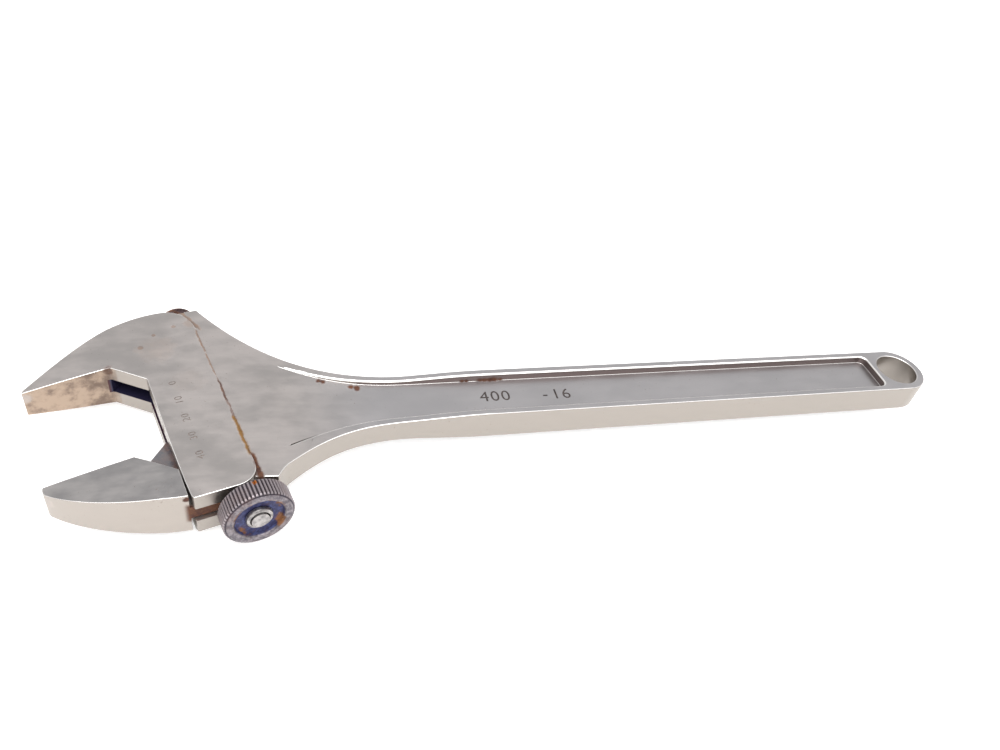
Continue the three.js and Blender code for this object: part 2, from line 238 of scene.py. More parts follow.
def combine(target: bpy.types.Object, tool: bpy.types.Object, cut: Cut) -> bpy.types.Object:
    """Join, cut or trim a solid by another.

    Args:
        target: The solid that is kept.
        tool: The other solid, which is used up.
        cut: How it acts.

    Returns:
        The changed solid.
    """
    select_only(target)
    modifier = target.modifiers.new("cut", "BOOLEAN")
    modifier.operation = cut.value
    modifier.solver = "EXACT"
    modifier.object = tool
    bpy.ops.object.modifier_apply(modifier=modifier.name)
    bpy.data.objects.remove(tool, do_unlink=True)
    tidy_mesh(target, WELD)
    return target


def round_edges(obj: bpy.types.Object, radius: float, sharper: float = 35, segments: int = 3,
                clamp: bool = True) -> None:
    """Round edges.

    Args:
        obj: The solid.
        radius: Width of the rounding.
        sharper: Least angle, in degrees, of an edge that is rounded.
        segments: Number of faces across the rounding.
        clamp: Whether the rounding gets narrower where it would run into another edge.
    """
    select_only(obj)
    bpy.ops.object.mode_set(mode="EDIT")
    bpy.ops.mesh.select_all(action="SELECT")
    bpy.ops.mesh.dissolve_limited(angle_limit=math.radians(0.3))
    bpy.ops.object.mode_set(mode="OBJECT")
    modifier = obj.modifiers.new("round", "BEVEL")
    modifier.width = radius
    modifier.segments = segments
    modifier.limit_method = "ANGLE"
    modifier.angle_limit = math.radians(sharper)
    modifier.miter_outer = "MITER_ARC"
    modifier.use_clamp_overlap = clamp
    bpy.ops.object.modifier_apply(modifier=modifier.name)
    tidy_mesh(obj, WELD)


def finish_piece(obj: bpy.types.Object, place: Matrix, body: str, replaced: Iterable[str]) -> None:
    """Put a drawn piece in the frame, shade it and say which body it rides on.

    Args:
        obj: The piece, in its drawing frame.
        place: Matrix of that frame.
        body: CAD body that it rides on.
        replaced: CAD nodes that it stands for.
    """
    obj.matrix_world = place
    select_only(obj)
    bpy.ops.object.transform_apply(location=True, rotation=True, scale=True)
    bpy.ops.object.shade_smooth_by_angle(angle=SMOOTH_ANGLE)
    modifier = obj.modifiers.new("even shading", "WEIGHTED_NORMAL")
    modifier.keep_sharp = True
    bpy.ops.object.modifier_apply(modifier=modifier.name)
    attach(obj, body)
    nodes = list(replaced)
    if nodes:
        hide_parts(*nodes)
    LOG.info("%s: %d faces on %s", obj.name, len(obj.data.polygons), body)


# ---- finishes: shared effects --------------------------------------------------------------------
Socket = bpy.types.NodeSocket
Value = "Socket | float | tuple[float, ...]"
Colour = tuple[float, float, float, float]


class Tree:
    """A node tree that is written as a few plain calls."""

    def __init__(self, tree: bpy.types.NodeTree) -> None:
        """Work on one node tree."""
        self.tree = tree

    def put(self, kind: str, settings: dict | None = None, **sockets: Value) -> bpy.types.Node:
        """Add a node.

        Args:
            kind: Node type without its ShaderNode prefix.
            settings: Properties of the node.
            **sockets: Inputs by name, with _ for a space, or i0, i1 and so on by place.

        Returns:
            The node.
        """
        node = self.tree.nodes.new("ShaderNode" + kind)
        for name, value in (settings or {}).items():
            setattr(node, name, value)
        for name, value in sockets.items():
            place = int(name[1:]) if name[0] == "i" and name[1:].isdigit() else name.replace("_", " ")
            self.feed(node.inputs[place], value)
        return node

    def feed(self, socket: Socket, value: Value) -> None:
        """Link a socket to another, or give it a constant."""
        if isinstance(value, bpy.types.NodeSocket):
            self.tree.links.new(value, socket)
        else:
            socket.default_value = value

    def math(self, operation: str, first: Value, second: Value = 0.0, clamp: bool = False) -> Socket:
        """Return the result of one sum."""
        node = self.put("Math", {"operation": operation, "use_clamp": clamp}, i0=first, i1=second)
        return node.outputs[0]

    def ramp(self, value: Value, low: float, high: float) -> Socket:
        """Return a smooth step from 0 at low to 1 at high."""
        node = self.put("MapRange", {"interpolation_type": "SMOOTHSTEP"}, i0=value, i1=low, i2=high,
                        i3=0.0, i4=1.0)
        return node.outputs[0]

    def between(self, value: Value, low: float, high: float, soft: float) -> Socket:
        """Return 1 between two values, with soft ends."""
        rise = self.ramp(value, low - soft, low)
        fall = self.math("SUBTRACT", 1.0, self.ramp(value, high, high + soft))
        return self.math("MULTIPLY", rise, fall)

    def mix(self, factor: Value, first: Value, second: Value) -> Socket:
        """Return two colours mixed."""
        node = self.put("Mix", {"data_type": "RGBA", "blend_type": "MIX", "clamp_factor": True})
        self.feed(node.inputs["Factor"], factor)
        self.feed(node.inputs[6], first)
        self.feed(node.inputs[7], second)
        return node.outputs[2]

    def noise(self, place: Socket, scale: float, detail: float = 3, roughness: float = 0.5,
              stretch: tuple[float, float, float] = (1, 1, 1)) -> Socket:
        """Return noise over a place in millimetres, with its scale in waves per millimetre."""
        spot = self.put("Mapping", {"vector_type": "POINT"}, Vector=place, Scale=stretch).outputs[0]
        node = self.put("TexNoise", {}, Vector=spot, Scale=scale, Detail=detail, Roughness=roughness)
        return node.outputs["Fac"]


class Effect(Enum):
    """Shared effects, each a node group."""

    CLOUDS = "cloudy plating"
    SPECKS = "specks and pits"
    RUST = "rust colour"
    BAND = "band on the head"
    SPOT = "spot"
    EDGES = "rubbed edges"


def new_group(effect: Effect, inputs: dict[str, str], outputs: dict[str, str]) -> tuple[Tree, dict, dict]:
    """Start a node group.

    Args:
        effect: Which effect the group makes.
        inputs: Socket kinds by name.
        outputs: Socket kinds by name.

    Returns:
        The tree, its input sockets and its output sockets by name.
    """
    group = bpy.data.node_groups.new(effect.value, "ShaderNodeTree")
    for name, kind in inputs.items():
        group.interface.new_socket(name, in_out="INPUT", socket_type="NodeSocket" + kind)
    for name, kind in outputs.items():
        group.interface.new_socket(name, in_out="OUTPUT", socket_type="NodeSocket" + kind)
    source = group.nodes.new("NodeGroupInput")
    result = group.nodes.new("NodeGroupOutput")
    named_in = {name: source.outputs[name] for name in inputs}
    named_out = {name: result.inputs[name] for name in outputs}
    return Tree(group), named_in, named_out


def build_clouds() -> None:
    """Build the cloudy plating: two scales of noise, drawn out a little along the wrench."""
    tree, given, out = new_group(Effect.CLOUDS, {"Vector": "Vector"}, {"Cloud": "Float", "Streak": "Float"})
    large = tree.noise(given["Vector"], 0.038, 4, 0.6, (0.6, 1, 1))
    fine = tree.noise(given["Vector"], 0.19, 3, 0.6, (0.5, 1, 1))
    blend = tree.math("ADD", tree.math("MULTIPLY", large, 0.65), tree.math("MULTIPLY", fine, 0.35))
    tree.feed(out["Cloud"], tree.ramp(blend, 0.38, 0.62))
    streak = tree.noise(given["Vector"], 0.42, 2, 0.6, (0.12, 1, 1))
    tree.feed(out["Streak"], tree.ramp(streak, 0.35, 0.7))


def build_specks() -> None:
    """Build dark specks and shallow pits, gathered in patches."""
    tree, given, out = new_group(Effect.SPECKS, {"Vector": "Vector", "Amount": "Float"},
                                 {"Speck": "Float", "Pit": "Float"})
    patches = tree.ramp(tree.noise(given["Vector"], 0.055, 3, 0.6), 0.45, 0.62)
    dots = tree.noise(given["Vector"], 0.9, 2, 0.7)
    edge = tree.math("SUBTRACT", 0.74, tree.math("MULTIPLY", given["Amount"], 0.1))
    edge = tree.math("SUBTRACT", edge, tree.math("MULTIPLY", patches, 0.06))
    over = tree.math("SUBTRACT", dots, edge)
    tree.feed(out["Speck"], tree.ramp(over, 0.0, 0.05))
    pits = tree.put("TexVoronoi", {}, Vector=given["Vector"], Scale=0.26).outputs["Distance"]
    hollow = tree.math("SUBTRACT", 1.0, tree.ramp(pits, 0.0, 0.16))
    tree.feed(out["Pit"], tree.math("MULTIPLY", hollow, patches))


def build_rust() -> None:
    """Build the rust's colour and its grainy height."""
    tree, given, out = new_group(Effect.RUST, {"Vector": "Vector"}, {"Color": "Color", "Height": "Float"})
    large = tree.noise(given["Vector"], 0.24, 4, 0.65)
    fine = tree.noise(given["Vector"], 1.3, 3, 0.7)
    dark = tree.mix(tree.ramp(large, 0.35, 0.62), (0.045, 0.018, 0.012, 1), (0.19, 0.075, 0.026, 1))
    tree.feed(out["Color"], tree.mix(tree.ramp(fine, 0.55, 0.72), dark, (0.33, 0.15, 0.045, 1)))
    tree.feed(out["Height"], fine)


def build_band() -> None:
    """Build a mask along a band that wanders and whose edges noise makes ragged."""
    inputs = {"Vector": "Vector", "Normal": "Vector", "Place": "Float", "Half Width": "Float",
              "Ragged": "Float"}
    tree, given, out = new_group(Effect.BAND, inputs, {"Mask": "Float"})
    dot = tree.put("VectorMath", {"operation": "DOT_PRODUCT"}, i0=given["Vector"], i1=given["Normal"])
    drift = tree.math("SUBTRACT", tree.noise(given["Vector"], 0.075, 2, 0.5), 0.5)
    centre = tree.math("ADD", given["Place"], tree.math("MULTIPLY", drift, given["Ragged"]))
    gap = tree.math("ABSOLUTE", tree.math("SUBTRACT", dot.outputs["Value"], centre))
    wave = tree.math("SUBTRACT", tree.noise(given["Vector"], 0.34, 3, 0.6), 0.5)
    gap = tree.math("ADD", gap, tree.math("MULTIPLY", wave, given["Ragged"]))
    inner = tree.math("SUBTRACT", 1.0, tree.math("DIVIDE", gap, given["Half Width"]))
    tree.feed(out["Mask"], tree.ramp(inner, -0.1, 0.7))


def build_spot() -> None:
    """Build a ragged round mask about a place on the object."""
    inputs = {"Vector": "Vector", "Centre": "Vector", "Radius": "Float"}
    tree, given, out = new_group(Effect.SPOT, inputs, {"Mask": "Float"})
    gap = tree.put("VectorMath", {"operation": "DISTANCE"}, i0=given["Vector"], i1=given["Centre"])
    wave = tree.math("SUBTRACT", tree.noise(given["Vector"], 0.3, 3, 0.65), 0.5)
    reach = tree.math("ADD", gap.outputs["Value"], tree.math("MULTIPLY", wave, given["Radius"]))
    share = tree.math("DIVIDE", reach, given["Radius"])
    tree.feed(out["Mask"], tree.math("SUBTRACT", 1.0, tree.ramp(share, 0.55, 1.05)))


def build_worn_and_glint_edges() -> None:
    """Build the mask of the rounded edges between upright and level faces, picked by their tilt: use rubs
    them bright, and their near-white colour is also a painted highlight for their glints.
    """
    tree, given, out = new_group(Effect.EDGES, {"Normal": "Vector"}, {"Mask": "Float"})
    up = tree.math("ABSOLUTE", tree.put("SeparateXYZ", {}, Vector=given["Normal"]).outputs[2])
    tree.feed(out["Mask"], tree.between(up, 0.6, 0.955, 0.025))


def use(tree: Tree, effect: Effect, **sockets: Value) -> bpy.types.Node:
    """Place a shared effect in a material."""
    return tree.put("Group", {"node_tree": bpy.data.node_groups[effect.value]}, **sockets)


# ---- finishes ------------------------------------------------------------------------------------
@dataclass(frozen=True)
class Band:
    """A wandering band of dirt or rust, by its normal, place and half width on the head."""

    normal: tuple[float, float, float]
    place: float
    half_width: float
    ragged: float
    low: tuple[float, float, float]
    high: tuple[float, float, float]
    tone: Colour = (0.085, 0.034, 0.024, 1)
    strength: float = 1.0


@dataclass(frozen=True)
class Spot:
    """A ragged round patch of dirt or rust on the head."""

    centre: tuple[float, float, float]
    radius: float
    tone: Colour = (0.085, 0.034, 0.024, 1)
    strength: float = 1.0


class Finish:
    """What every finish of this wrench shares."""

    name = "finish"

    def start(self) -> tuple[bpy.types.Material, Tree, Socket, Socket]:
        """Start the material.

        Returns:
            The material, its tree, and the place in the handle frame and the head frame.
        """
        material = bpy.data.materials.new(self.name)
        material.use_nodes = True
        tree = Tree(material.node_tree)
        place = tree.put("TexCoord").outputs["Object"]
        frames = []
        for datum in (DATUM.handle(), DATUM.head()):
            spot, turn, _ = datum.decompose()
            node = tree.put("Mapping", {"vector_type": "TEXTURE"}, Vector=place, Location=spot,
                            Rotation=turn.to_euler(), Scale=(MM, MM, MM))
            frames.append(node.outputs[0])
        return material, tree, frames[0], frames[1]

    def end(self, tree: Tree, colour: Socket, rough: Value, metal: Value, height: Socket,
            depth: float) -> None:
        """Feed the shader and its bump."""
        shader = tree.tree.nodes["Principled BSDF"]
        bump = tree.put("Bump", {}, Strength=0.6, Distance=depth * MM, Height=height)
        tree.feed(shader.inputs["Base Color"], colour)
        tree.feed(shader.inputs["Roughness"], rough)
        tree.feed(shader.inputs["Metallic"], metal)
        tree.feed(shader.inputs["Normal"], bump.outputs[0])

    def axes(self, tree: Tree, place: Socket) -> tuple[Socket, Socket, Socket]:
        """Return the three parts of a place."""
        node = tree.put("SeparateXYZ", {}, Vector=place)
        return node.outputs[0], node.outputs[1], node.outputs[2]

    def sideways(self, tree: Tree) -> Socket:
        """Return 1 on the faces that look sideways and 0 on those that look up or down."""
        normal = tree.put("NewGeometry").outputs["Normal"]
        up = tree.math("ABSOLUTE", self.axes(tree, normal)[2])
        return tree.math("SUBTRACT", 1.0, tree.ramp(up, 0.25, 0.75))


@dataclass(frozen=True)
class Plating(Finish):
    """Worn nickel and chrome plating, with rust where dirt and water stood."""

    name: str = "worn plating"
    dark: Colour = (0.44, 0.42, 0.41, 1)
    light: Colour = (0.565, 0.53, 0.515, 1)
    # painted shade: sideways faces get this darker, warmer copy of the plating
    side: Colour = (0.315, 0.285, 0.255, 1)
    sunk: Colour = (0.455, 0.455, 0.475, 1)
    # painted shade for the sunk panels' walls
    panel_wall_shade: Colour = (0.17, 0.125, 0.12, 1)
    # rounded edges: rubbed bright, and also a painted highlight for their glints
    rubbed: Colour = (0.96, 0.955, 0.94, 1)
    speck: Colour = (0.16, 0.115, 0.085, 1)
    # painted shade inside the slot
    slot_shade: Colour = (0.022, 0.02, 0.05, 1)
    slot_rust: Colour = (0.06, 0.016, 0.022, 1)
    tan: Colour = (0.40, 0.30, 0.225, 1)
    brown: Colour = (0.15, 0.10, 0.075, 1)
    roughness: float = 0.3
    specks: float = 0.2
    bands: tuple[Band, ...] = ()
    spots: tuple[Spot, ...] = ()
    slot: bool = False
    stained_face: float | None = None

    def marks(self, tree: Tree, head: Socket) -> list[tuple[Socket, Colour]]:
        """Return the mask and the tone of every band and spot.

        Args:
            tree: The material's tree.
            head: Place in the head frame.
        """
        parts = self.axes(tree, head)
        found = []
        for band in self.bands:
            mask = use(tree, Effect.BAND, Vector=head, Normal=band.normal, Place=band.place,
                       Half_Width=band.half_width, Ragged=band.ragged).outputs["Mask"]
            for value, low, high in zip(parts, band.low, band.high):
                mask = tree.math("MULTIPLY", mask, tree.between(value, low, high, 2.0))
            found.append((tree.math("MULTIPLY", mask, band.strength), band.tone))
        for spot in self.spots:
            mask = use(tree, Effect.SPOT, Vector=head, Centre=spot.centre, Radius=spot.radius)
            found.append((tree.math("MULTIPLY", mask.outputs["Mask"], spot.strength), spot.tone))
        return found

    def slot_mask(self, tree: Tree, head: Socket) -> Socket:
        """Return the mask of the slot's inside, which gets painted shade and rust."""
        x, y, z = self.axes(tree, head)
        inside = tree.between(z, -3.3, 3.3, 0.02)
        inside = tree.math("MULTIPLY", inside, tree.between(x, -12.9, 29.0, 0.1))
        return tree.math("MULTIPLY", inside, tree.between(y, -46.5, 36.0, 1.0))

    def panel_wall_shade_mask(self, tree: Tree, along: Socket, sides: Socket) -> Socket:
        """Return the mask of the sunk panels' walls, which get painted shade."""
        x, y, z = self.axes(tree, along)
        inside = tree.between(tree.math("ABSOLUTE", y), 0.0, 11.6, 0.1)
        inside = tree.math("MULTIPLY", inside, tree.between(x, -268.0, -13.0, 4.0))
        return tree.math("MULTIPLY", inside, sides)

    def panel_mask(self, tree: Tree, along: Socket, sides: Socket) -> Socket:
        """Return the mask of the handle's upper and lower faces, from the thin part of the neck on."""
        x, y, z = self.axes(tree, along)
        low = tree.math("SUBTRACT", 1.0, tree.ramp(tree.math("ABSOLUTE", z), 6.9, 7.9))
        low = tree.math("MULTIPLY", low, tree.ramp(x, -295.0, -250.0))
        return tree.math("MULTIPLY", low, tree.math("SUBTRACT", 1.0, sides))

    def make(self) -> bpy.types.Material:
        """Return the material."""
        material, tree, along, head = self.start()
        clouds = use(tree, Effect.CLOUDS, Vector=along)
        colour = tree.mix(clouds.outputs["Cloud"], self.dark, self.light)
        colour = tree.mix(tree.math("MULTIPLY", clouds.outputs["Streak"], 0.22), colour, self.dark)
        sides = self.sideways(tree)
        colour = tree.mix(tree.math("MULTIPLY", self.panel_mask(tree, along, sides), 0.75), colour, self.sunk)
        # painted shade: sideways faces are turned to the darker, warmer side colour
        colour = tree.mix(tree.math("MULTIPLY", sides, 0.85), colour, self.side)
        # painted shade: the upright walls of the sunk panels are darkened
        colour = tree.mix(tree.math("MULTIPLY", self.panel_wall_shade_mask(tree, along, sides), 0.8), colour, self.panel_wall_shade)
        # painted highlight: edges tilted to catch the light get near-white colour and less roughness,
        # together with their rubbed wear
        rubbed = use(tree, Effect.EDGES, Normal=tree.put("NewGeometry").outputs["Normal"]).outputs["Mask"]
        colour = tree.mix(rubbed, colour, self.rubbed)
        specks = use(tree, Effect.SPECKS, Vector=along, Amount=self.specks)
        speck = specks.outputs["Speck"]
        colour = tree.mix(tree.math("MULTIPLY", speck, 0.5), colour, self.speck)
        if self.stained_face is not None:
            colour = self.stain(tree, head, sides, colour)
        rust = use(tree, Effect.RUST, Vector=along)
        covered = tree.math("MULTIPLY", speck, 0.4)
        for mask, tone in self.marks(tree, head):
            grainy = tree.mix(0.65, rust.outputs["Color"], tone)
            colour = tree.mix(mask, colour, grainy)
            covered = tree.math("MAXIMUM", covered, mask)
        rough = tree.math("ADD", self.roughness, tree.math("MULTIPLY", clouds.outputs["Cloud"], 0.1))
        rough = tree.math("SUBTRACT", rough, tree.math("MULTIPLY", rubbed, 0.12))
        rough = tree.math("ADD", rough, tree.math("MULTIPLY", covered, 0.5), clamp=True)
        metal = tree.math("SUBTRACT", 0.96, tree.math("MULTIPLY", covered, 0.9), clamp=True)
        if self.slot:
            slot = self.slot_mask(tree, head)
            rusty = tree.between(self.axes(tree, head)[0], -14.0, -12.6, 0.8)
            mouth = tree.between(self.axes(tree, head)[1], -46.0, 12.0, 2.0)
            # painted shade inside the slot, mixed with rust at its end and in its lower part
            inside = tree.mix(tree.math("MAXIMUM", rusty, tree.math("MULTIPLY", mouth, 0.6)),
                              self.slot_shade, self.slot_rust)
            colour = tree.mix(slot, colour, inside)
            metal = tree.math("SUBTRACT", metal, tree.math("MULTIPLY", slot, 0.7), clamp=True)
        height = tree.math("SUBTRACT", tree.math("MULTIPLY", rust.outputs["Height"], covered),
                           tree.math("MULTIPLY", specks.outputs["Pit"], 0.8))
        height = tree.math("ADD", height, tree.math("MULTIPLY", clouds.outputs["Cloud"], 0.25))
        self.end(tree, colour, rough, metal, height, 0.12)
        return material

    def stain(self, tree: Tree, head: Socket, sides: Socket, colour: Socket) -> Socket:
        """Return the colour with a tan and brown stain on the jaw's working face.

        Args:
            tree: The material's tree.
            head: Place in the head frame.
            sides: Mask of the upright faces.
            colour: The colour so far.
        """
        x, y, z = self.axes(tree, head)
        near = tree.between(y, self.stained_face - 1.6, self.stained_face + 1.6, 0.6)
        near = tree.math("MULTIPLY", tree.math("MULTIPLY", near, sides), tree.ramp(x, -6.0, -13.0))
        cloud = tree.noise(head, 0.16, 4, 0.6)
        brown = tree.math("MULTIPLY", tree.ramp(x, -33.0, -14.0), 0.14)
        cloud = tree.ramp(tree.math("ADD", cloud, brown), 0.46, 0.74)
        tan = tree.mix(cloud, self.tan, self.brown)
        return tree.mix(tree.math("MULTIPLY", near, 0.85), colour, tan)


@dataclass(frozen=True)
class WheelBlack(Finish):
    """Blackened knurl with bright worn tooth tops, and old blue paint in the dish."""

    name: str = "wheel black"
    axis: float = 20.4
    tip_radius: float = 12.6
    dish_radius: float = 9.1
    steel_dark: Colour = (0.10, 0.09, 0.105, 1)
    steel_light: Colour = (0.25, 0.225, 0.24, 1)
    groove: Colour = (0.035, 0.03, 0.042, 1)
    tooth: Colour = (0.36, 0.32, 0.34, 1)
    paint_dark: Colour = (0.022, 0.022, 0.075, 1)
    paint_light: Colour = (0.06, 0.075, 0.2, 1)
    fresh_rust: Colour = (0.45, 0.15, 0.03, 1)
    fresh_spot: tuple[float, float, float] = (20.9, -52.6, 12.7)

    def make(self) -> bpy.types.Material:
        """Return the material."""
        material, tree, along, head = self.start()
        x, y, z = self.axes(tree, head)
        across = tree.math("SUBTRACT", x, self.axis)
        radius = tree.math("SQRT", tree.math("ADD", tree.math("MULTIPLY", across, across),
                                             tree.math("MULTIPLY", z, z)))
        clouds = use(tree, Effect.CLOUDS, Vector=along)
        grain = tree.noise(head, 0.7, 4, 0.65)
        steel = tree.mix(tree.ramp(grain, 0.35, 0.65), self.steel_dark, self.steel_light)
        worn = tree.ramp(radius, self.tip_radius - 0.45, self.tip_radius + 0.1)
        flank = tree.mix(worn, self.groove, self.tooth)
        rim = tree.ramp(radius, self.tip_radius - 0.9, self.tip_radius - 0.5)
        colour = tree.mix(rim, steel, flank)
        dish = tree.math("SUBTRACT", 1.0, tree.ramp(radius, self.dish_radius - 0.25, self.dish_radius))
        blue = tree.mix(tree.ramp(grain, 0.4, 0.72), self.paint_dark, self.paint_light)
        rust = use(tree, Effect.RUST, Vector=along)
        patches = tree.ramp(tree.noise(head, 0.16, 3, 0.6), 0.47, 0.6)
        edge = tree.between(radius, self.dish_radius - 1.4, self.dish_radius + 0.3, 0.8)
        eaten = tree.math("MULTIPLY", patches, tree.math("ADD", tree.math("MULTIPLY", edge, 0.9), 0.15))
        colour = tree.mix(dish, colour, blue)
        colour = tree.mix(eaten, colour, rust.outputs["Color"])
        orange = use(tree, Effect.SPOT, Vector=head, Centre=self.fresh_spot, Radius=1.2)
        colour = tree.mix(orange.outputs["Mask"], colour, self.fresh_rust)
        covered = tree.math("MAXIMUM", dish, eaten)
        rough = tree.math("ADD", 0.38, tree.math("MULTIPLY", covered, 0.2))
        metal = tree.math("SUBTRACT", 0.9, tree.math("MULTIPLY", covered, 0.65), clamp=True)
        self.end(tree, colour, rough, metal, grain, 0.1)
        return material


@dataclass(frozen=True)
class BareSteel(Finish):
    """Turned or drawn steel without plating, dulled by age."""

    name: str = "bare steel"
    dark: Colour = (0.20, 0.19, 0.19, 1)
    light: Colour = (0.42, 0.40, 0.39, 1)
    rusty: float = 0.25
    roughness: float = 0.36

    def make(self) -> bpy.types.Material:
        """Return the material."""
        material, tree, along, head = self.start()
        grain = tree.noise(head, 0.55, 4, 0.65)
        colour = tree.mix(tree.ramp(grain, 0.32, 0.66), self.dark, self.light)
        rust = use(tree, Effect.RUST, Vector=along)
        patches = tree.ramp(tree.noise(head, 0.16, 4, 0.6), 0.62 - 0.3 * self.rusty, 0.78 - 0.3 * self.rusty)
        colour = tree.mix(patches, colour, rust.outputs["Color"])
        rough = tree.math("ADD", self.roughness, tree.math("MULTIPLY", patches, 0.45), clamp=True)
        metal = tree.math("SUBTRACT", 0.92, tree.math("MULTIPLY", patches, 0.85), clamp=True)
        self.end(tree, colour, rough, metal, rust.outputs["Height"], 0.08)
        return material


@dataclass(frozen=True)
class Engraving(Finish):
    """Dirt in the engraved figures."""

    name: str = "engraving dirt"
    dark: Colour = (0.03, 0.024, 0.024, 1)
    light: Colour = (0.075, 0.06, 0.055, 1)
    worn: Colour = (0.36, 0.32, 0.30, 1)
    wear: float = 0.3

    def make(self) -> bpy.types.Material:
        """Return the material."""
        material, tree, along, head = self.start()
        grain = tree.noise(head, 0.9, 3, 0.6)
        colour = tree.mix(tree.ramp(grain, 0.35, 0.65), self.dark, self.light)
        rubbed = tree.ramp(tree.noise(head, 0.5, 3, 0.6), 0.62 - 0.2 * self.wear, 0.72 - 0.2 * self.wear)
        colour = tree.mix(rubbed, colour, self.worn)
        rough = tree.math("ADD", 0.55, tree.math("MULTIPLY", grain, 0.2))
        self.end(tree, colour, rough, tree.math("MULTIPLY", rubbed, 0.8), grain, 0.05)
        return material


def dress(obj: bpy.types.Object, material: bpy.types.Material) -> None:
    """Give a piece one finish all over."""
    obj.data.materials.clear()
    obj.data.materials.append(material)


def dress_cad(node: str, material: bpy.types.Material) -> None:
    """Give a carried-over CAD node a finish, in its material slots only."""
    obj = bpy.data.objects[node]
    if not obj.material_slots:
        obj.data.materials.append(material)
    for slot in obj.material_slots:
        slot.material = material


# ---- pieces --------------------------------------------------------------------------------------
@dataclass
class HeadShape:
    """Sizes that the forging's head and the movable jaw share, in millimetres."""

    thickness: float = 19.0
    tip_thickness: float = 12.2
    jaw_length: float = 42.6
    throat_depth: float = 11.4
    throat_rise: float = 11.0
    fixed_face: float = 25.2
    movable_face: float = -23.4
    slide_gap: float = 0.3
    spindle_offset: float = 20.4

    def taper(self) -> bpy.types.Object:
        """Return a wide solid with the side view of the thinning jaws."""
        half = self.thickness / 2
        tip = self.tip_thickness / 2
        top = Outline(-self.jaw_length - 1, tip - 0.6)
        top.bend((-self.jaw_length + 9, tip + 0.9), (-self.throat_depth - 6, half - 0.6),
                 (-self.throat_depth + 3, half), steps=12)
        lower = [(x, -z) for x, z in reversed(top.points)]
        return side_prism("taper", top.points + [(80, half), (80, -half)] + lower, WIDE)


@dataclass(frozen=True)
class Figure:
    """One stamped figure: what it says, its height, its turn in degrees and its middle."""

    text: str
    size: float
    turn: float
    spot: Point


@dataclass
class Figures:
    """Stamped figures: they are cut into the forging, and old dirt lies in them."""

    depth: float = 0.3
    fill: float = 0.12

    def solid(self, figure: Figure, low: float, high: float) -> bpy.types.Object:
        """Return one figure as a solid.

        Args:
            figure: What to draw.
            low: Height of its lower face.
            high: Height of its upper face.
        """
        bpy.ops.object.select_all(action="DESELECT")
        bpy.ops.object.text_add()
        obj = bpy.context.object
        obj.data.body = figure.text
        obj.data.size = figure.size
        obj.data.align_x = "CENTER"
        obj.data.align_y = "CENTER"
        obj.data.resolution_u = 4
        obj.data.space_character = 1.12
        obj.data.extrude = (high - low) / 2
        bpy.ops.object.convert(target="MESH")
        turn = Matrix.Rotation(math.radians(figure.turn), 4, "Z")
        obj.data.transform(Matrix.Translation((figure.spot[0], figure.spot[1], (high + low) / 2)) @ turn)
        tidy_mesh(obj, WELD)
        return obj

    def engrave(self, target: bpy.types.Object, figures: Sequence[Figure], surface: float) -> None:
        """Cut figures into a flat surface of a solid."""
        for figure in figures:
            cutter = self.solid(figure, surface - self.depth, surface + 1)
            combine(target, cutter, Cut.REMOVE)

    def dirt(self, name: str, figures: Sequence[Figure], surface: float) -> bpy.types.Object:
        """Return the dirt that lies in the figures, as one piece.

        Args:
            name: Name of the piece.
            figures: The figures, as they were cut.
            surface: Height of the face that they were cut into.
        """
        low = surface - self.depth + 0.01
        pieces = [self.solid(figure, low, low + self.fill) for figure in figures]
        bpy.ops.object.select_all(action="DESELECT")
        for obj in pieces:
            obj.select_set(True)
        bpy.context.view_layer.objects.active = pieces[0]
        bpy.ops.object.join()
        joined = bpy.context.object
        joined.name = name
        return joined


SCALE = tuple(Figure(str(10 * i), 3.9, 90, (8.2, 8.8 - 9.9 * i)) for i in range(5))
SIZE = (Figure("400", 8.4, 0, (-204.8, 0.0)), Figure("-", 8.4, 0, (-182.5, -0.3)),
        Figure("16", 8.4, 0, (-175.2, -0.7)))


